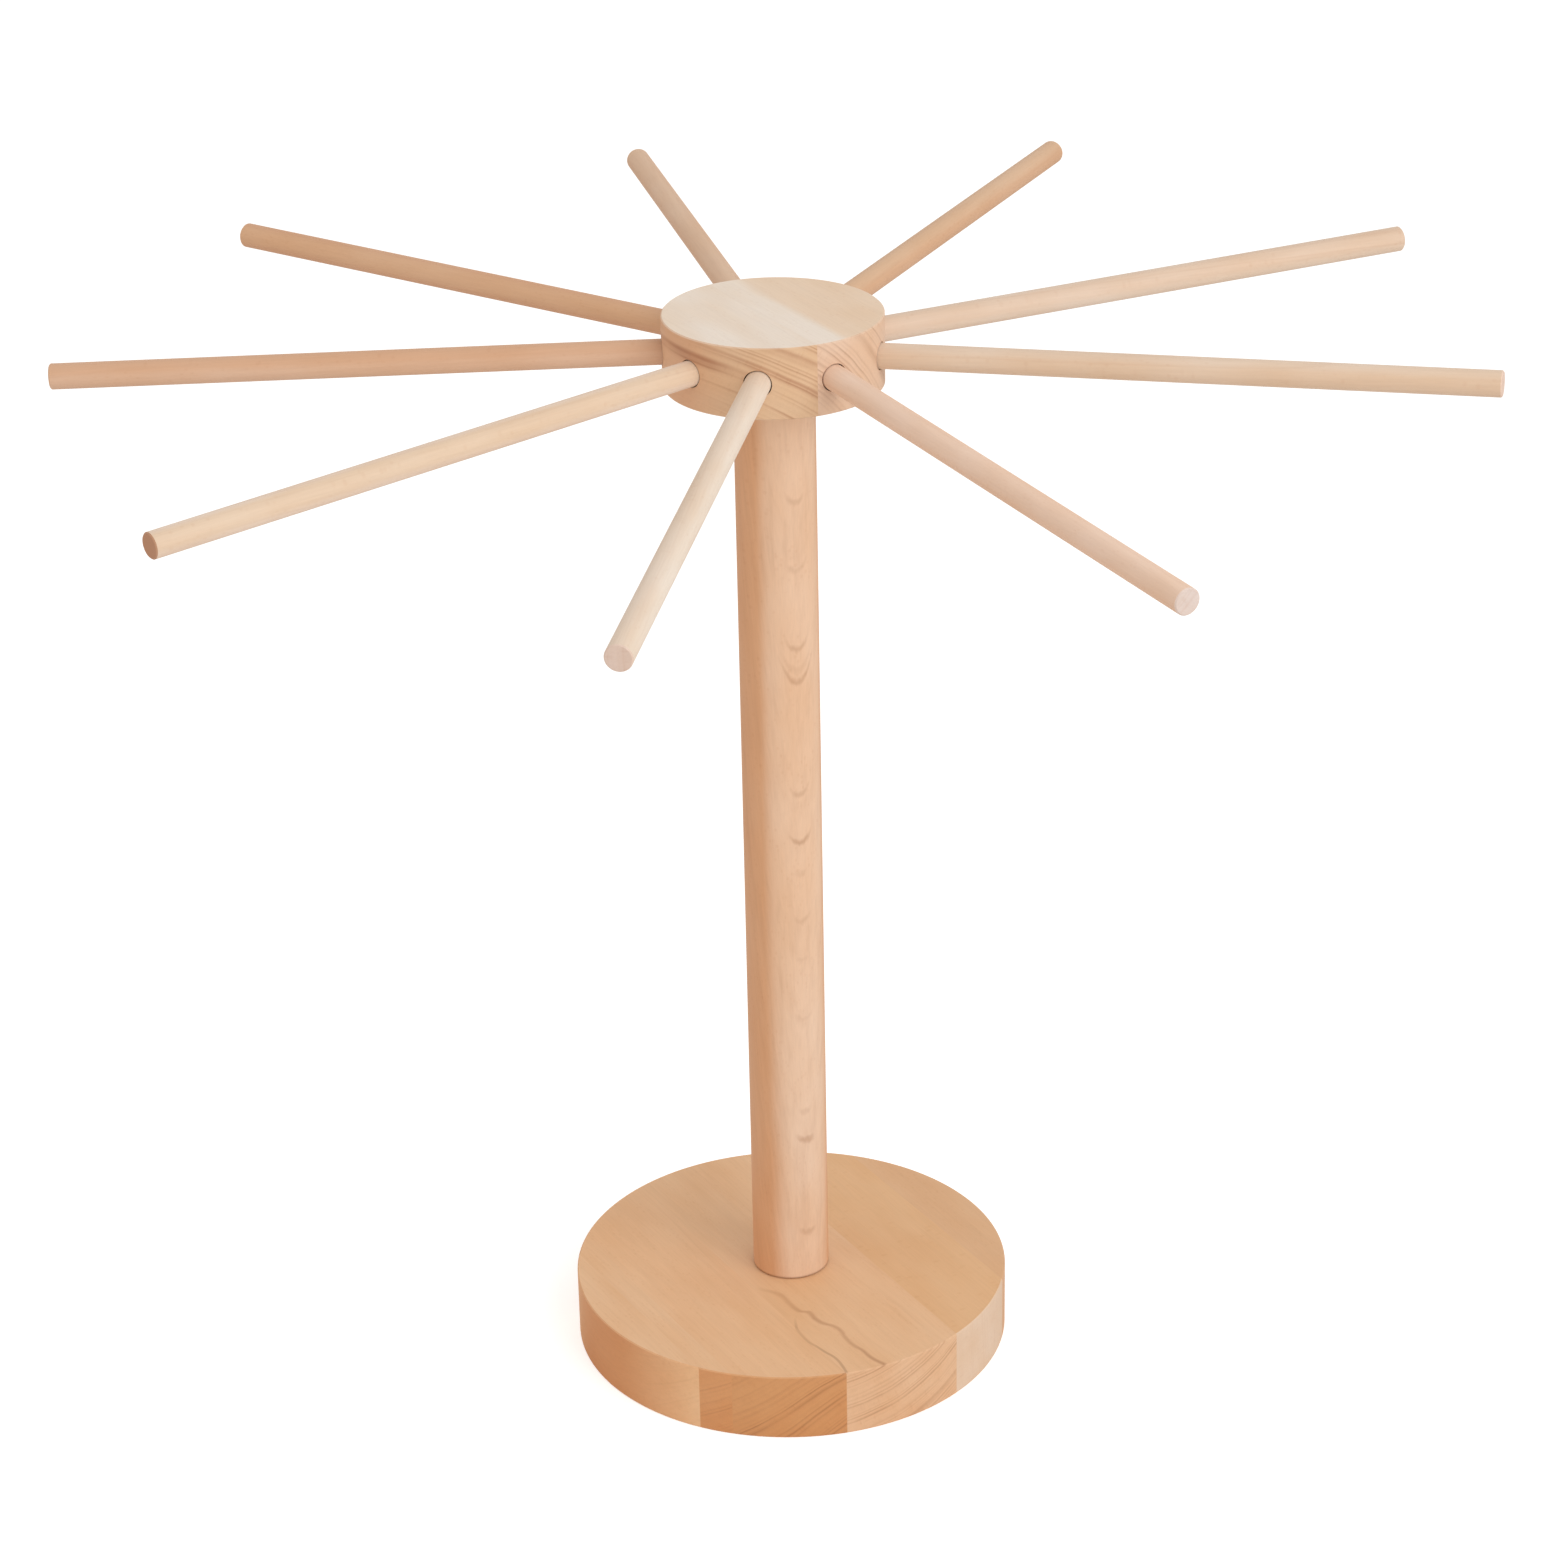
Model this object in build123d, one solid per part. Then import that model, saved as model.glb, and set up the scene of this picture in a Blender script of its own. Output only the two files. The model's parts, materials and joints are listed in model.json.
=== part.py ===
"""A round wooden drying rack: a base, a post, and a turning head with nine loose rods.

The origin is the middle of the base's underside. +Z is up, and -Y is the front.
Lengths are in millimetres. Angles are in degrees, counter-clockwise from above, from +X.
"""
from build123d import *
from math import cos, radians, sin
import os

# Base: a disc cut from a board of edge-glued staves, which run at the angle
base_diameter = 200.0
base_thickness = 32.0
base_edge_chamfer = 0.5
base_stave_angle = -60.0
base_seam_shares = (-0.82, -0.72, -0.28, 0.31, 0.74)

# Post: one turned piece, with a glued tenon at its foot
post_diameter = 35.0
post_length = 433.0
post_edge_chamfer = 0.5
tenon_diameter = 20.0
tenon_length = 21.0
tenon_end_room = 0.5
glue_gap = 0.05

# Head: a disc of two glued staves, with blind holes round its rim that stop at a solid core. The
# seam runs beside the hole of one rod, counted from 0, and clears it by the margin.
head_diameter = 94.0
head_thickness = 31.0
head_edge_chamfer = 0.5
head_core_diameter = 49.0
head_seam_rod = 1
head_seam_margin = 2.0

# Pin: a loose dowel that locates the head on the post, so that the head turns and lifts off
pin_diameter = 16.0
pin_length = 38.0
pin_depth_in_post = 20.0
pin_top_room = 1.0
pin_end_chamfer = 1.0
pin_clearance = 0.08

# Rods: plain dowels that push into the holes in the head. Each hole is drilled a little off: its
# mouth lies off the even pitch by the first angle, its direction turns off it by the second, and
# it rises outwards by the third.
rod_diameter = 11.0
rod_length = 280.0
rod_end_chamfer = 0.5
rod_clearance = 0.5
first_rod_angle = -98.0
rod_drilling_angles = (
    (-0.3, -3.3, -2.7),
    (0.3, -3.4, -1.9),
    (1.1, 1.4, 1.9),
    (1.9, 0.9, 0.9),
    (0.4, 1.7, 0.4),
    (0.3, 0.1, -1.2),
    (0.4, 0.5, -1.0),
    (1.6, -2.7, -1.5),
    (0.1, -4.1, -2.0),
)

# Screw: a countersunk wood screw, up through the base into the post
screw_diameter = 5.0
screw_length = 50.0
screw_point_length = 6.0
screw_tip_diameter = 1.0
screw_head_diameter = 9.6
screw_head_rim = 0.6
screw_sunk_depth = 1.0
screw_hole_gap = 0.05
drive_width = 1.1
drive_span = 5.2
drive_depth = 2.4

# How far a cut runs past the face that it opens
overrun = 5.0

FROM_BASE = (Align.CENTER, Align.CENTER, Align.MIN)


def turned(diameter, length, edge_chamfer):
    """A round solid standing on the origin, with the edges of both its ends chamfered."""
    solid = Cylinder(diameter / 2, length, align=FROM_BASE)
    return chamfer(solid.edges().filter_by(GeomType.CIRCLE), edge_chamfer)


def level(angle):
    """The level direction at this angle."""
    return Vector(cos(radians(angle)), sin(radians(angle)), 0)


def staves_of(disc, seams, side):
    """A disc parted along seams square to the side's direction, at these distances towards it."""
    staves = []
    for seam in seams:
        cut = Plane(origin=side * seam, z_dir=side)
        staves.append(split(disc, bisect_by=cut, keep=Keep.BOTTOM))
        disc = split(disc, bisect_by=cut, keep=Keep.TOP)
    return [*staves, disc]


def screw_form(gap=0.0):
    """The screw along Z with its head down, or the hole that it needs with a gap all round."""
    shank = screw_diameter / 2 + gap
    head = screw_head_diameter / 2 + gap
    cone_start = screw_sunk_depth + screw_head_rim
    tip = screw_sunk_depth + screw_length
    outline = Polyline(
        (0, screw_sunk_depth),
        (head, screw_sunk_depth),
        (head, cone_start),
        (shank, cone_start + head - shank),
        (shank, tip - screw_point_length),
        (screw_tip_diameter / 2 + gap, tip + gap),
        (0, tip + gap),
        close=True,
    )
    return revolve(Plane.XZ * make_face(outline), Axis.Z)


def make_screw():
    """A wood screw with a flat head and a cross recess in it."""
    arm = Box(drive_span, drive_width, 2 * drive_depth)
    recess = Pos(0, 0, screw_sunk_depth) * (arm + Rot(0, 0, 90) * arm)
    return screw_form() - recess


def make_base():
    """The staves of the base, from the left to the right across the seams."""
    disc = turned(base_diameter, base_thickness, base_edge_chamfer)
    socket_depth = tenon_length + tenon_end_room
    socket = Cylinder(tenon_diameter / 2 + glue_gap, socket_depth + overrun, align=FROM_BASE)
    disc -= Pos(0, 0, base_thickness - socket_depth) * socket
    mouth_radius = screw_head_diameter / 2 + screw_hole_gap
    mouth = Cylinder(mouth_radius, overrun + screw_sunk_depth, align=FROM_BASE)
    disc -= Pos(0, 0, -overrun) * mouth + screw_form(screw_hole_gap)
    seams = [share * base_diameter / 2 for share in base_seam_shares]
    return staves_of(disc, seams, level(base_stave_angle + 90))


def make_post():
    """The post with its tenon, the pilot hole for the screw and the bore for the pin."""
    body = turned(post_diameter, post_length, post_edge_chamfer)
    tenon = Pos(0, 0, -tenon_length) * Cylinder(tenon_diameter / 2, tenon_length, align=FROM_BASE)
    post = Pos(0, 0, base_thickness) * (body + tenon)
    bore_radius = pin_diameter / 2 + pin_clearance
    bore = Cylinder(bore_radius, pin_depth_in_post + overrun, align=FROM_BASE)
    post -= Pos(0, 0, pin_foot) * bore
    return post - screw_form(screw_hole_gap)


def rod_plane(number):
    """Where a rod, counted from 0, enters the head's rim: Z runs out along it, and X is level."""
    place, turn, rise = rod_drilling_angles[number]
    pitch_angle = first_rod_angle + 360 / len(rod_drilling_angles) * number
    entry = level(pitch_angle + place) * (head_diameter / 2) + Vector(0, 0, rod_height)
    axis = level(pitch_angle + turn) * cos(radians(rise)) + Vector(0, 0, sin(radians(rise)))
    return Plane(origin=entry, x_dir=level(pitch_angle + turn + 90), z_dir=axis)


def make_head():
    """The two staves of the head, with the rod holes and the pin's socket."""
    disc = Pos(0, 0, post_top) * turned(head_diameter, head_thickness, head_edge_chamfer)
    socket_depth = pin_length - pin_depth_in_post + pin_top_room
    socket_radius = pin_diameter / 2 + pin_clearance
    socket = Cylinder(socket_radius, socket_depth + overrun, align=FROM_BASE)
    disc -= Pos(0, 0, post_top - overrun) * socket
    hole_radius = rod_diameter / 2 + rod_clearance
    hole = Cylinder(hole_radius, rod_hole_depth + overrun, align=FROM_BASE)
    for number in range(len(rod_drilling_angles)):
        disc -= rod_plane(number) * Pos(0, 0, -rod_hole_depth) * hole
    beside = rod_plane(head_seam_rod)
    seam = beside.origin.dot(beside.x_dir) - hole_radius - head_seam_margin
    return staves_of(disc, [seam], beside.x_dir)


post_top = base_thickness + post_length
pin_foot = post_top - pin_depth_in_post
rod_height = post_top + head_thickness / 2
rod_hole_depth = (head_diameter - head_core_diameter) / 2

nodes = {"post": make_post(), "post_screw": make_screw()}
nodes["head_pin"] = Pos(0, 0, pin_foot) * turned(pin_diameter, pin_length, pin_end_chamfer)
for number, stave in enumerate(make_base(), 1):
    nodes[f"base_stave_{number}"] = stave
for number, stave in enumerate(make_head(), 1):
    nodes[f"head_stave_{number}"] = stave
rod = Pos(0, 0, -rod_hole_depth) * turned(rod_diameter, rod_length, rod_end_chamfer)
for number in range(len(rod_drilling_angles)):
    nodes[f"rod_{number + 1}"] = rod_plane(number) * rod

os.makedirs("parts", exist_ok=True)
for name, shape in nodes.items():
    export_step(shape, f"parts/{name}.step")
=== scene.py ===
import bpy
import json
import math
from mathutils import Matrix, Vector


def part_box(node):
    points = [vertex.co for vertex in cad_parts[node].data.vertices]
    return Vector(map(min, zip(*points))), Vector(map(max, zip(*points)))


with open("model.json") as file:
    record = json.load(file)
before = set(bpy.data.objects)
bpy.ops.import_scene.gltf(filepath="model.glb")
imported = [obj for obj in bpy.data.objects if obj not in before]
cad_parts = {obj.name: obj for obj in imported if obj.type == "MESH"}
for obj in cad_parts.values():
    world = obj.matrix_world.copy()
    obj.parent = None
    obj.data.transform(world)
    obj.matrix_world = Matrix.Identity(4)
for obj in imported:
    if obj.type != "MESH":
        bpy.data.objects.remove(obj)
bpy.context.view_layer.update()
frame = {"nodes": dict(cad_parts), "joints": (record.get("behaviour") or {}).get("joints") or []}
bpy.ops.object.select_all(action="DESELECT")

# Base: a disc sawn from a board of six edge-glued staves of steamed beech, sanded and left bare.
# The seams are glued flush. Each stave was sawn from another place in its tree, so its growth
# rings lie about a pith of its own, and its tone is its own, apart from painted light: the top
# tones are a little deeper and warmer than the head's, partly as painted shade, and the side
# tones, most of all the first stave's at the left of the rim, are deeper and warmer, partly as
# painted warm shade.
MM = 0.001
UP = Vector((0, 0, 1))
base_grain_angle = math.radians(-60)
base_along = Vector((math.cos(base_grain_angle), math.sin(base_grain_angle), 0))
base_across = Vector((-base_along.y, base_along.x, 0))


def linear(colour):
    """An sRGB hex colour as linear RGBA."""
    parts = [int(colour[i:i + 2], 16) / 255 for i in (1, 3, 5)]
    return (*[p / 12.92 if p <= 0.04045 else ((p + 0.055) / 1.055) ** 2.4 for p in parts], 1.0)


def add(tree, kind, *values, **settings):
    """Adds a shader node with its settings. The values go to its inputs in order: a number, a
    colour, a socket, a node, whose first output is taken, or None to leave the input alone."""
    node = tree.nodes.new("ShaderNode" + kind)
    for name, value in settings.items():
        setattr(node, name, value)
    for socket, value in zip([s for s in node.inputs if s.enabled], values):
        if isinstance(value, bpy.types.Node):
            value = next(output for output in value.outputs if output.enabled)
        if isinstance(value, bpy.types.NodeSocket):
            tree.links.new(value, socket)
        elif value is not None:
            socket.default_value = value
    return node


def pushed(tree, place, along, pushes):
    """A place less the push that a table gives for each place along the grain, in millimetres.
    The table may push by up to the most, either way."""
    most = 10
    first, last = pushes[0][0], pushes[-1][0]
    curve = add(tree, "FloatCurve", 1.0, add(tree, "MapRange", along, first, last, 0.0, 1.0))
    points = curve.mapping.curves[0].points
    for number, (where, push) in enumerate(pushes):
        spot = ((where - first) / (last - first), 0.5 - push / (2 * most))
        if 0 < number < len(pushes) - 1:
            points.new(*spot)
        else:
            points[0 if number == 0 else -1].location = spot
    curve.mapping.update()
    centred = add(tree, "Math", curve, 0.5, operation="SUBTRACT")
    return add(tree, "Math", centred, 2.0 * most, place, operation="MULTIPLY_ADD")


def beech(name, grain, broad, middle, heart, tones, seed, ring=2.3, shows=(0.06, 0.6), ripple=1.6,
          crinkle=0.12, streaky=0.06, wave=(), marks=(), glue_and_painted_shade=None, band=None):
    """Steamed beech, sanded and bare: one solid pattern that runs right through a piece.

    The fibres run along the grain. The growth rings lie about the pith, which is the heart's
    offset from the piece's middle. The rays are thin sheets that point at the pith, short flecks
    on a face along the rings and wider flakes on a face across them. It gives the eye a pale pink
    tan that is nearly plain on the broad faces, deeper on the sides and the end grain, with the
    rings clearest where the grain is cut across, and a dull silky surface. The paler broad faces
    and the deeper, warmer sides are partly the wood's own tone and partly painted light: a painted
    lift of light and reflection on the broad faces and painted warm shade on the sides.

    The tones are those of the broad faces, which look along broad, of the sides, of end grain and
    of the dark lines. A year's ring is as wide as ring says, and shows as much as shows says, on
    the faces and on end grain. Ripple and crinkle are how far the rings stray, in long bends and
    in short ones, and streaky is how much the fibres darken the wood in streaks. A wave is a table
    of places along the grain and how far each pushes the rings out, in place of their own sway.

    Each mark is one bold ring: its distance from the pith, strength, thickness, half-width and
    fade. A fade is the places along the grain where it shows in full and where it is gone. Glue is
    one dark line, used for a glue seam and for painted shade in the crease where two parts meet:
    its direction, its place along that, strength, thickness, a table of pushes and a fade. With no
    fade it shows on every face, and with one on the broad faces alone. A band is another tone of
    the broad faces, past a place in some direction, and how softly it starts. All are in
    millimetres.
    """
    face, side, end, dark = tones
    material = bpy.data.materials.new(name)
    material.use_nodes = True
    tree = material.node_tree
    tree.nodes.clear()
    place = add(tree, "TexCoord")
    up = Vector(grain).normalized()
    out = -(heart - heart.dot(up) * up).normalized()
    turn = Matrix((out, up.cross(out), up)).transposed().to_euler()
    wood = add(tree, "Mapping", place.outputs["Object"], (middle + heart) * MM, turn, (MM,) * 3,
               vector_type="TEXTURE")

    # Lumps of noise, by their size in millimetres across the grain and along it. Real fibres are
    # finer than this: these are as coarse as it takes to show.
    seed_step = 3.7
    lumps = {}
    for use, across, along, detail in (("sway", 60, 240, 1), ("ripple", 16, 36, 1),
                                       ("crinkle", 3, 5, 1), ("cloud", 20, 50, 2),
                                       ("streak", 2.5, 60, 2), ("fibre", 0.6, 16, 2)):
        seed += seed_step
        squeezed = add(tree, "VectorMath", wood, (1 / across, 1 / across, 1 / along),
                       operation="MULTIPLY")
        lumps[use] = add(tree, "TexNoise", squeezed, seed, 1.0, detail, noise_dimensions="4D")

    # Rings: how far from the pith, pushed by the sway or the wave, by ripples and by crinkles
    sway = 11.0
    xyz = add(tree, "SeparateXYZ", wood)
    flat = add(tree, "VectorMath", wood, (1, 1, 0), operation="MULTIPLY")
    distance = add(tree, "VectorMath", flat, operation="LENGTH")
    if wave:
        swayed = pushed(tree, distance, xyz.outputs["Z"], wave)
    else:
        swayed = add(tree, "Math", lumps["sway"], sway, distance, operation="MULTIPLY_ADD")
    for use, push in (("ripple", ripple), ("crinkle", crinkle)):
        centred = add(tree, "Math", lumps[use], 0.5, operation="SUBTRACT")
        swayed = add(tree, "Math", centred, push, swayed, operation="MULTIPLY_ADD")

    # Years: uneven in width and in strength, in groups, each dark towards its end. The pace drifts
    # over a few years, and moves a ring by up to a few.
    drift_years = 3.3
    stray_years = 3.0
    when = add(tree, "Math", swayed, 1 / (drift_years * ring), seed, operation="MULTIPLY_ADD")
    pace = add(tree, "TexNoise", when, 1.0, 1.0, noise_dimensions="1D")
    uneven = add(tree, "Math", pace, stray_years * ring, swayed, operation="MULTIPLY_ADD")
    years = add(tree, "Math", uneven, ring, operation="DIVIDE")
    season = add(tree, "Math", years, operation="FRACT")
    latewood = add(tree, "ValToRGB", season)
    latewood.color_ramp.interpolation = "EASE"
    for position, value in ((0.20, 0.0), (0.50, 0.3), (0.80, 1.0)):
        latewood.color_ramp.elements.new(position).color = (value, value, value, 1)
    for border in (latewood.color_ramp.elements[0], latewood.color_ramp.elements[-1]):
        border.color = (0.35, 0.35, 0.35, 1)
    year = add(tree, "Math", years, operation="FLOOR")
    chance = add(tree, "TexWhiteNoise", year, noise_dimensions="1D")
    group = add(tree, "TexNoise", when, 1.7, 0.0, noise_dimensions="1D")
    favoured = add(tree, "MapRange", group, 0.35, 0.65, 0.3, 1.3)
    lucky = add(tree, "Math", chance, favoured, operation="MULTIPLY")
    strength = add(tree, "MapRange", lucky, 0.0, 1.0, 0.10, 1.0)
    broken = add(tree, "MapRange", lumps["ripple"], 0.35, 0.60, 0.45, 1.0)
    strong = add(tree, "Math", latewood, strength, operation="MULTIPLY")
    line = add(tree, "Math", strong, broken, operation="MULTIPLY")

    # How squarely the grain is cut here, from a long face to end grain, and how broad the face is
    facings = []
    for direction, start, stop in ((up, 0.10, 0.85), (Vector(broad), 0.50, 0.95)):
        facing = add(tree, "VectorMath", place.outputs["Normal"], direction.normalized(),
                     operation="DOT_PRODUCT")
        squarely = add(tree, "Math", facing, operation="ABSOLUTE")
        facings.append(add(tree, "MapRange", squarely, start, stop, 0.0, 1.0,
                           interpolation_type="SMOOTHSTEP"))
    cut, breadth = facings
    show = add(tree, "MapRange", cut, 0.0, 1.0, *shows)
    streaks = add(tree, "MapRange", lumps["streak"], 0.45, 0.75, 0.0, streaky)
    figure = add(tree, "Math", line, show, streaks, operation="MULTIPLY_ADD", use_clamp=True)

    # Marks, each a soft dark band. One with no half-width is broken as the rings are.
    for far, strength, thickness, reach, fade in marks:
        away = add(tree, "Math", swayed, far, operation="SUBTRACT")
        away = add(tree, "Math", away, operation="ABSOLUTE")
        bold = add(tree, "MapRange", away, 0.0, thickness, strength, 0.0,
                   interpolation_type="SMOOTHSTEP")
        kept = broken
        if reach:
            aside = add(tree, "Math", xyz.outputs["Y"], operation="ABSOLUTE")
            kept = add(tree, "MapRange", aside, 0.3 * reach, reach, 1.0, 0.0,
                       interpolation_type="SMOOTHSTEP")
        bold = add(tree, "Math", bold, kept, operation="MULTIPLY")
        if fade:
            begun = add(tree, "MapRange", xyz.outputs["Z"], *fade, 1.0, 0.0)
            bold = add(tree, "Math", bold, begun, operation="MULTIPLY")
        figure = add(tree, "Math", figure, bold, operation="MAXIMUM", use_clamp=True)

    # Rays: sheets 0.4 mm thick, 2 mm tall and up to 6 mm deep, each in a cell of its own, measured
    # round the pith, out from it and along the grain
    ray_cell = (1.3, 6.0, 3.1)
    ray_strength = 0.15
    angle = add(tree, "Math", xyz.outputs["Y"], xyz.outputs["X"], operation="ARCTAN2")
    arc = add(tree, "Math", angle, heart.length / ray_cell[0], operation="MULTIPLY")
    deep = add(tree, "Math", distance, 1 / ray_cell[1], operation="MULTIPLY")
    tall = add(tree, "Math", xyz.outputs["Z"], 1 / ray_cell[2], operation="MULTIPLY")
    cells = add(tree, "TexVoronoi", add(tree, "CombineXYZ", arc, deep, tall), 1.0)
    sheet = add(tree, "MapRange", cells, 0.14, 0.40, 1.0, 0.0, interpolation_type="SMOOTHSTEP")
    picked = add(tree, "MapRange", cells.outputs["Color"], 0.35, 0.75, 0.0, 1.0)
    rays = add(tree, "Math", sheet, picked, operation="MULTIPLY")
    faint = add(tree, "Math", rays, ray_strength, operation="MULTIPLY")

    # Colour: pale faces, deeper sides and ends, dark rings, a slow drift of tone, fibres and rays.
    # The pale faces and the deeper sides are partly painted light and painted warm shade.
    long = add(tree, "Mix", breadth, linear(side), linear(face), data_type="RGBA")
    if band:
        stray = 6.0
        direction, spot, softness, tone = band
        start = spot + stray / 2
        reached = add(tree, "VectorMath", place.outputs["Object"], direction / MM,
                      operation="DOT_PRODUCT")
        past = add(tree, "Math", lumps["ripple"], stray, reached, operation="MULTIPLY_ADD")
        inside = add(tree, "MapRange", past, start - softness, start + softness, 0.0, 1.0,
                     interpolation_type="SMOOTHSTEP")
        there = add(tree, "Math", inside, breadth, operation="MULTIPLY")
        long = add(tree, "Mix", there, long.outputs[2], linear(tone), data_type="RGBA")
    pale = add(tree, "Mix", cut, long.outputs[2], linear(end), data_type="RGBA")
    drift = add(tree, "MapRange", lumps["cloud"], 0.35, 0.70, 0.0, 0.8)
    warm = add(tree, "Mix", drift, pale.outputs[2], linear("#f9f0e5"), data_type="RGBA",
               blend_type="MULTIPLY")
    ringed = add(tree, "Mix", figure, warm.outputs[2], linear(dark), data_type="RGBA")
    fine = add(tree, "MapRange", lumps["fibre"], 0.25, 0.75, 0.97, 1.03)
    fibrous = add(tree, "VectorMath", ringed.outputs[2], fine, operation="MULTIPLY")
    colour = add(tree, "Mix", faint, fibrous, linear("#e5cebc"), data_type="RGBA",
                 blend_type="MULTIPLY")

    # Glue and painted shade: a soft dark line that lies over all that, a glue seam on the base
    # and painted shade in the crease round the post's foot
    if glue_and_painted_shade:
        direction, spot, strength, thickness, waver, fade = glue_and_painted_shade
        reached = add(tree, "VectorMath", place.outputs["Object"], direction / MM,
                      operation="DOT_PRODUCT")
        away = add(tree, "Math", reached, spot, operation="SUBTRACT")
        if waver:
            away = pushed(tree, away, xyz.outputs["Z"], waver)
        away = add(tree, "Math", away, operation="ABSOLUTE")
        glue_and_shade_mask = add(tree, "MapRange", away, 0.3 * thickness, thickness, strength, 0.0,
                    interpolation_type="SMOOTHSTEP")
        if fade:
            begun = add(tree, "MapRange", xyz.outputs["Z"], *fade, 1.0, 0.0)
            for share in (begun, breadth, broken):
                glue_and_shade_mask = add(tree, "Math", glue_and_shade_mask, share, operation="MULTIPLY")
        colour = add(tree, "Mix", glue_and_shade_mask, colour.outputs[2], linear("#7b4c2d"), data_type="RGBA")

    # Surface: fibres raised a few hundredths of a millimetre, and smoother where it is dark
    bump = add(tree, "Bump", 0.25, 0.06 * MM, None, lumps["fibre"])
    rough = add(tree, "MapRange", figure, 0.0, 1.0, 0.60, 0.52)
    surface = add(tree, "BsdfPrincipled", colour.outputs[2], 0.0, rough, 1.5, 1.0, bump)
    add(tree, "OutputMaterial", surface)
    return material


# Each stave's pith across the staves and above the table in millimetres, its tones, and how much
# the rings show on its broad faces and on end grain
base_staves = (
    (1, -65, ("#e8bd93", "#d89762", "#fad2a4", "#b07a4c"), (0.06, 0.30)),
    (-3, -90, ("#e8bd93", "#dba475", "#da9a63", "#a4683c"), (0.06, 0.50)),
    (27, -82, ("#e8bb90", "#dba475", "#d69a64", "#a0653a"), (0.06, 0.70)),
    (-60, 180, ("#e8bd93", "#e2b48a", "#e6bb94", "#a87149"), (0.06, 0.50)),
    (212, 25, ("#e3b586", "#e5c9af", "#e5c9af", "#c9976d"), (0.06, 0.15)),
    (60, -90, ("#e0b388", "#dbb088", "#dfb088", "#b4825a"), (0.06, 0.50)),
)
# The fourth stave's rings wave along the grain, and one of them is bold. The glue line on its left
# is the only one that shows, and a torn edge makes it waver.
wave = ((-110, -6.5), (-60, -6.2), (-20, -5.6), (14, -4.1), (24, -3.0), (35, -3.0), (41, -2.7),
        (44, -1.9), (50, -1.9), (55, -1.6), (60, -0.8), (64, -0.6), (71, -1.0), (78, -1.0),
        (84, -0.5), (90, -0.4), (100, 0.4), (110, 0.5))
bold_ring = (156.1, 0.62, 0.65, None, (24, 12))
waver = ((40, 5.5), (44, 3.6), (46, 2.1), (50, 0.2), (53, -1.1), (57, -1.7), (65, -2.0),
         (70, -1.0), (76, 0.0), (83, 1.4), (90, 0.7), (98, -0.8), (110, -0.8))
glue_line = (base_across, -27.2, 0.36, 1.0, waver, (52, 43))
base_seed_step = 5.3
for number, (across, rise, tones, shows) in enumerate(base_staves, 1):
    stave = frame["nodes"][f"base_stave_{number}"]
    low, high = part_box(stave.name)
    middle = (low + high) / 2 / MM
    heart = base_across * across + UP * rise - middle
    stave.material_slots[0].material = beech(
        f"steamed_beech_sanded_base_{number}", base_along, UP, middle, heart, tones,
        number * base_seed_step, shows=shows, wave=wave if number == 4 else (),
        marks=(bold_ring,) if number == 4 else (), glue_and_painted_shade=glue_line if number in (3, 4) else None)

# Post: one turned bar of the same beech, glued into the base. Its grain leans a little from its
# axis, so that its rings break the surface in small dark smiles down one side.
post = frame["nodes"]["post"]
low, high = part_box("post")
middle = (low + high) / 2 / MM
radius = (high.x - low.x) / 2 / MM
smile_side = math.radians(-63)
near = Vector((math.cos(smile_side), math.sin(smile_side), 0))
lean = 0.12
pith = 30
smile_thickness = 0.35
# Each smile's height above the table, its strength and its half-width
smiles = ((412, 0.25, 6), (381, 0.20, 7), (345, 0.32, 7), (335, 0.14, 10), (330, 0.36, 10),
          (277, 0.28, 6), (253, 0.45, 7), (238, 0.14, 4), (215, 0.22, 6), (196, 0.14, 5),
          (166, 0.16, 6), (118, 0.20, 4), (103, 0.42, 6), (54, 0.30, 6))
smile_marks = [(pith + radius + lean * (height - middle.z), strength, smile_thickness, reach, ())
               for height, strength, reach in smiles]
base_top = 32.0
# A dark line round the post's foot is painted shade in the crease where the post meets the base.
post_foot_painted_shade = (UP, base_top, 0.55, 1.6, (), ())
post_band = (UP, 170, 90, "#e9c3a3")
no_sway = ((-240, 0), (240, 0))
# The front and back take the pale tone, and the left and right the deeper, warmer side tone, which
# is partly painted warm shade.
post.material_slots[0].material = beech(
    "steamed_beech_turned_post", UP - lean * near, near, middle, -pith * near,
    ("#ebcbb0", "#deaa80", "#e3b78f", "#a4704a"), 2.0, ring=2.1, shows=(0.05, 0.4), ripple=0.5,
    crinkle=0.35, streaky=0.15, wave=no_sway, marks=smile_marks, glue_and_painted_shade=post_foot_painted_shade, band=post_band)

# Screw: a zinc-plated countersunk wood screw that draws the post down. The plating is bright, a
# little cloudy and not quite smooth.
zinc = bpy.data.materials.new("bright_zinc_plated_steel")
zinc.use_nodes = True
tree = zinc.node_tree
tree.nodes.clear()
spot = add(tree, "Mapping", add(tree, "TexCoord").outputs["Object"], None, None, (MM,) * 3,
           vector_type="TEXTURE")
bloom = add(tree, "TexNoise", spot, 1.1, 3.0)
tint = add(tree, "Mix", bloom, linear("#c9cac6"), linear("#dcdbd4"), data_type="RGBA")
dull = add(tree, "MapRange", bloom, 0.3, 0.7, 0.28, 0.45)
pitted = add(tree, "Bump", 0.3, 0.02 * MM, None, add(tree, "TexNoise", spot, 6.0, 2.0))
plated = add(tree, "BsdfPrincipled", tint.outputs[2], 1.0, dull, None, None, pitted)
add(tree, "OutputMaterial", plated)
frame["nodes"]["post_screw"].material_slots[0].material = zinc

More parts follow.
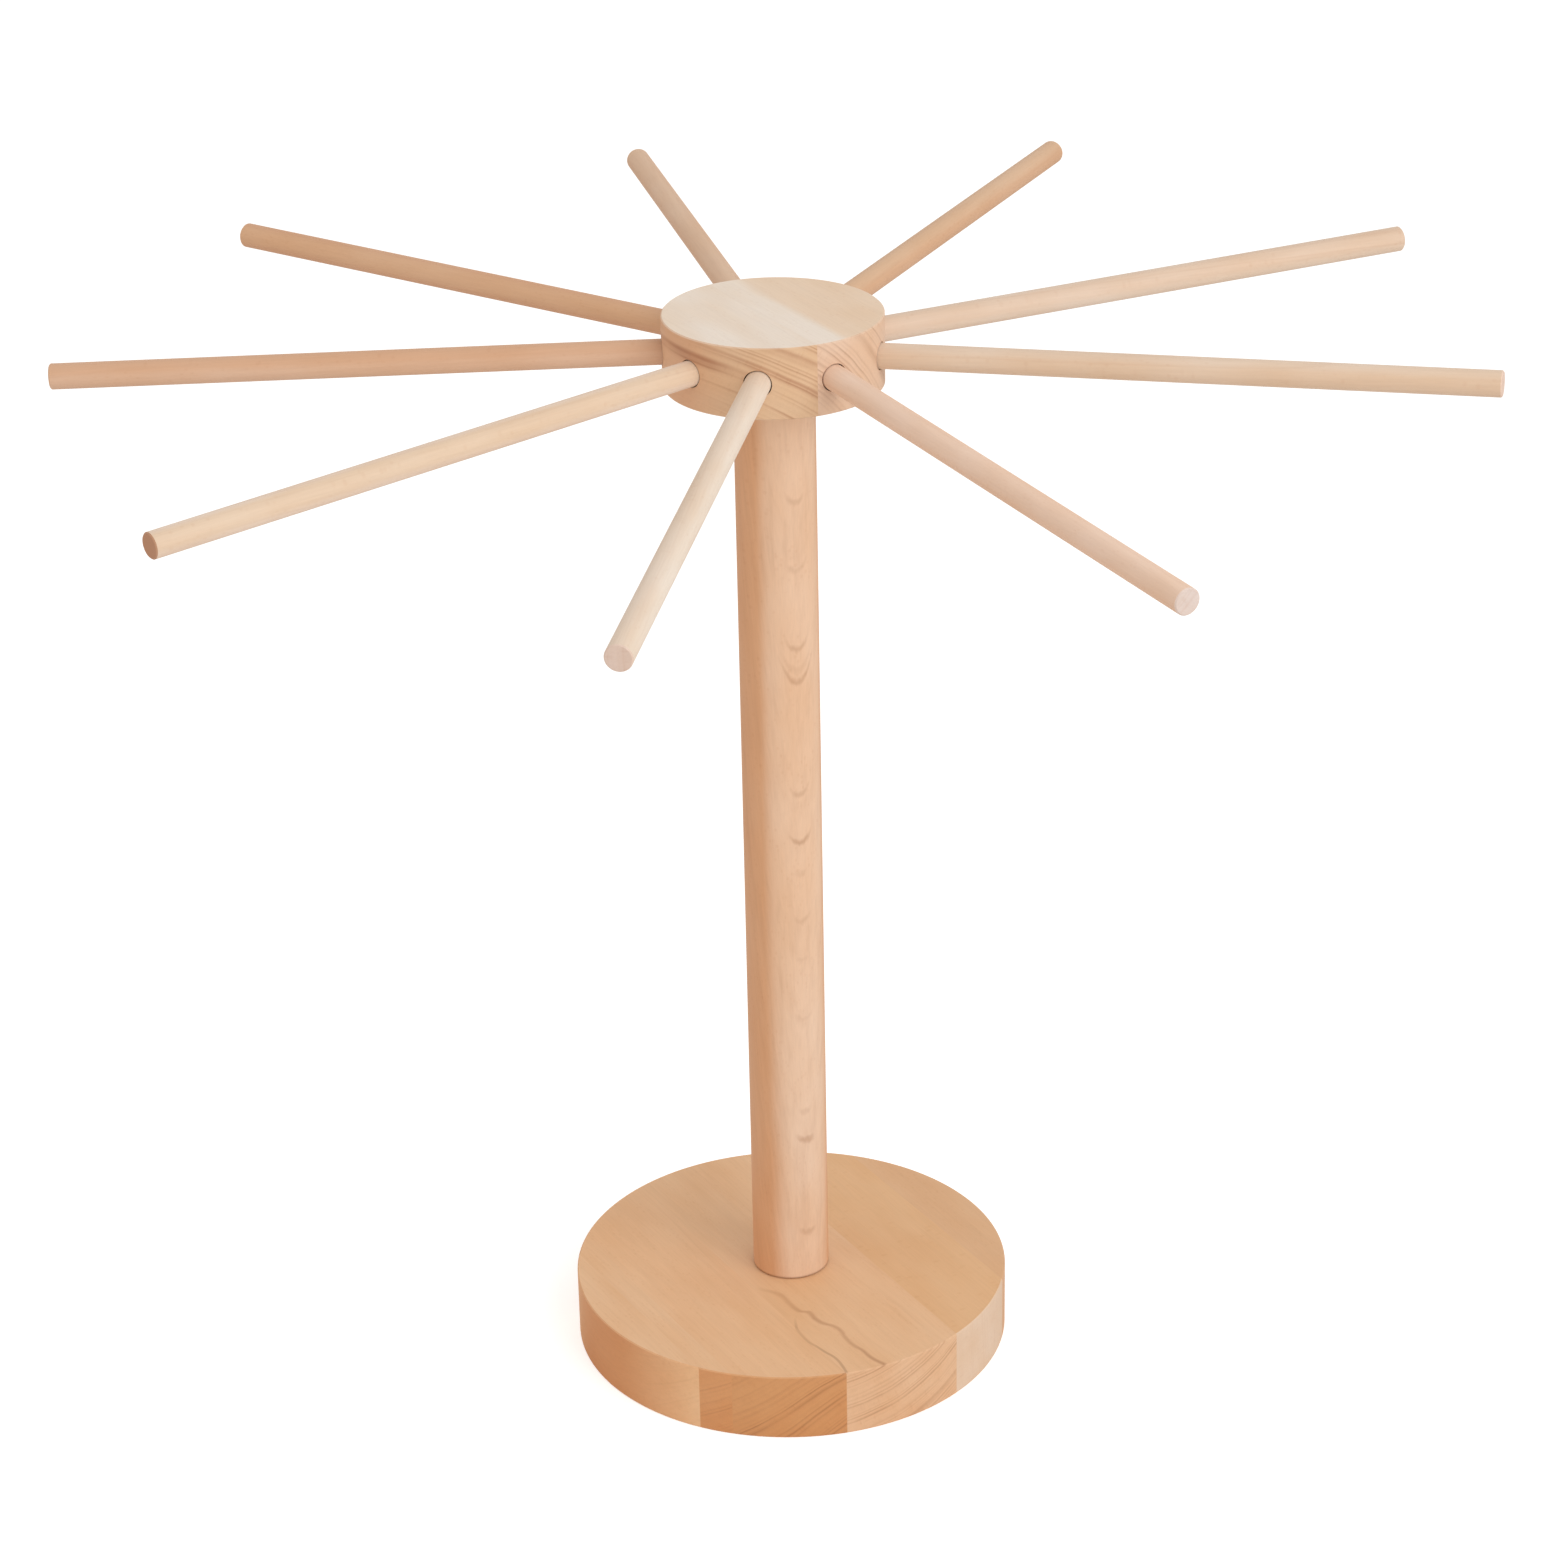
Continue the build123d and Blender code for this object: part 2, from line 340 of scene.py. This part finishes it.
# Head: a disc sawn from two glued staves of beech, bored round its rim for the rods and
# dropped over the pin. Its top is paler than the base's, partly the wood's own tone and partly
# a painted lift of light and reflection from above. Its front is cut across the grain, and most
# of its second stave is of a slightly deeper tone on top. The first stave's deeper, warmer side
# tone, on the left, is partly painted shade.
head_marks = ((156.3, 0.75, 2.2, None, (28, 44)), (153.8, 0.60, 1.3, None, (28, 44)),
              (161.6, 0.55, 1.4, None, (24, 8)), (155.0, 0.45, 4.0, None, (28, 44)))
# Each stave's pith across the staves and above the table in millimetres, its tones, how much the
# rings show, and its marks
head_staves = (
    (-92, 346, ("#f1e2d2", "#e1b28c", "#e1bd98", "#a0603c"), (0.02, 0.65), head_marks),
    (-70, 400, ("#f1e2d2", "#e0b998", "#e6c5aa", "#94603c"), (0.02, 0.80), ()),
)
head_seed, head_seed_step = 40, 5.3
# The grain runs along the second rod, and the tone changes a little way past the seam
head_pull = next(joint for joint in frame["joints"] if joint["name"] == "rod_2_pull")
head_along = Vector((head_pull["axis"][0], head_pull["axis"][1], 0)).normalized()
head_across = Vector((-head_along.y, head_along.x, 0))
second_stave = frame["nodes"]["head_stave_2"]
head_seam = min(head_across.dot(second_stave.matrix_world @ vertex.co)
                for vertex in second_stave.data.vertices) / MM
tone_past_seam = 13
head_band = (head_across, head_seam + tone_past_seam, 3, "#edd4ba")
for number, (across, rise, tones, shows, marks) in enumerate(head_staves, 1):
    stave = frame["nodes"][f"head_stave_{number}"]
    low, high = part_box(stave.name)
    middle = (low + high) / 2 / MM
    heart = head_across * across + UP * rise - middle
    stave.material_slots[0].material = beech(
        f"steamed_beech_sanded_head_{number}", head_along, UP, middle, heart, tones,
        head_seed + number * head_seed_step, shows=shows, streaky=0.02, marks=marks,
        band=head_band if number == 2 else None)

# Pin: a plain beech dowel with eased ends. It stands loose in the post's bore, and the head turns
# round it.
pin_grain = Vector((0.02, 0, 1))
pin_heart = Vector((45, 20, 0))
low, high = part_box("head_pin")
frame["nodes"]["head_pin"].material_slots[0].material = beech(
    "steamed_beech_dowel_pin", pin_grain, Vector((1, 0, 0)), (low + high) / 2 / MM, pin_heart,
    ("#e6c3a2", "#dfb890", "#dfb890", "#c4946c"), 61.0)

# Rods: plain beech dowels, sawn to length and pushed in by hand. Each is cut from another stick,
# so its tones are its own, and its grain leans a little from its axis. The deeper tones of the
# seventh rod, at the back on the left, and the dark end of the ninth are partly painted shade.
rod_tones = (
    ("#ebddcd", "#e9d6c3", "#e3cdc0"),
    ("#f2d4be", "#efcdb4", "#dfcfc7"),
    ("#e6cfb9", "#e3c8ae", "#e8cfc0"),
    ("#e3ceba", "#e0c6af", "#e8cfc0"),
    ("#dab593", "#d6ab87", "#dcb592"),
    ("#e2c2a6", "#dcb89a", "#dcb89a"),
    ("#dbb08b", "#d6a681", "#cd9d74"),
    ("#ddb79a", "#d8ad8c", "#d8ad86"),
    ("#ebd5c1", "#e4caaf", "#bc8a69"),
)
# Their dark lines, how the grain leans, how far each stick is rolled, how far off its pith lies in
# millimetres, and where its pattern is taken from
rod_dark = "#bd8a66"
rod_lean = 0.02
rod_roll_step = 2.4
rod_heart, rod_heart_step = 38, 7
rod_seed, rod_seed_step = 80, 4.1
for number, tones in enumerate(rod_tones, 1):
    rod = frame["nodes"][f"rod_{number}"]
    low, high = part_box(rod.name)
    pull = next(joint for joint in frame["joints"] if joint["name"] == f"rod_{number}_pull")
    along = Vector(pull["axis"])
    beside = along.orthogonal()
    beside.rotate(Matrix.Rotation(number * rod_roll_step, 3, along))
    rod.material_slots[0].material = beech(
        f"steamed_beech_dowel_rod_{number}", along + rod_lean * beside, beside,
        (low + high) / 2 / MM, beside * (rod_heart + rod_heart_step * number),
        (*tones, rod_dark), rod_seed + number * rod_seed_step, shows=(0.15, 0.35))

# Floor: a sheet of matt white paper. The camera sees it brighter than it lights the object, so
# that it meets the white room, and it keeps the soft shadow.
floor_size = 30
floor_glow = 0.5
bpy.ops.mesh.primitive_plane_add(size=floor_size)
floor = bpy.context.object
floor.name = "floor"
paper = bpy.data.materials.new("white_paper_floor")
paper.use_nodes = True
tree = paper.node_tree
tree.nodes.clear()
matt = add(tree, "BsdfDiffuse", linear("#efecea"))
glow = add(tree, "Emission", linear("#ffffff"), floor_glow)
lit = add(tree, "AddShader", matt, glow)
seen = add(tree, "LightPath")
both = add(tree, "MixShader", seen.outputs["Is Camera Ray"], matt, lit)
add(tree, "OutputMaterial", both)
floor.data.materials.append(paper)

# Light: a bright white room, one large soft lamp on the right, and a weaker, warmer one that
# fills in from the left. Both point at the middle of the post.
room_light = 0.68
world = bpy.data.worlds.new("white_room")
world.use_nodes = True
tree = world.node_tree
tree.nodes.clear()
rays = add(tree, "LightPath")
shown = add(tree, "Math", rays.outputs["Is Camera Ray"], rays.outputs["Is Glossy Ray"],
            operation="MAXIMUM")
shown = add(tree, "Math", shown, rays.outputs["Is Transmission Ray"], operation="MAXIMUM")
strength = add(tree, "MapRange", shown, 0.0, 1.0, room_light, 1.0)
add(tree, "OutputWorld", add(tree, "Background", linear("#ffffff"), strength))
bpy.context.scene.world = world

middle_height = 0.25
lamp_width = 2.4
# Each lamp's name, place in metres, power in watts and colour
lamps = (("soft_lamp", (1.6, -1.7, 1.8), 32, (1.0, 1.0, 1.0)),
         ("warm_fill", (-1.7, -0.7, 0.7), 3.2, (1.0, 0.62, 0.34)))
for name, place, energy, colour in lamps:
    lamp_data = bpy.data.lights.new(name, "AREA")
    lamp_data.shape = "DISK"
    lamp_data.size = lamp_width
    lamp_data.energy = energy
    lamp_data.color = colour
    lamp = bpy.data.objects.new(name, lamp_data)
    bpy.context.scene.collection.objects.link(lamp)
    lamp.location = place
    away = lamp.location - Vector((0, 0, middle_height))
    lamp.rotation_euler = away.to_track_quat("Z", "Y").to_euler()

# Camera: from the front and above, through a long lens, tipped a degree to one side.
camera_distance = 1.8071
camera_pitch = math.radians(25.93)
camera_roll = math.radians(-1.13)
camera_data = bpy.data.cameras.new("camera")
camera_data.sensor_width = 36
camera_data.lens = 93.27
camera_data.shift_x = 0.0007
camera_data.shift_y = 0.0361
camera = bpy.data.objects.new("camera", camera_data)
bpy.context.scene.collection.objects.link(camera)
bpy.context.scene.camera = camera
back = camera_distance * math.cos(camera_pitch)
rise = camera_distance * math.sin(camera_pitch)
camera.matrix_world = (Matrix.Translation((0, -back, middle_height + rise))
                       @ Matrix.Rotation(math.radians(90) - camera_pitch, 4, "X")
                       @ Matrix.Rotation(camera_roll, 4, "Z"))
bpy.context.scene.view_settings.view_transform = "Standard"
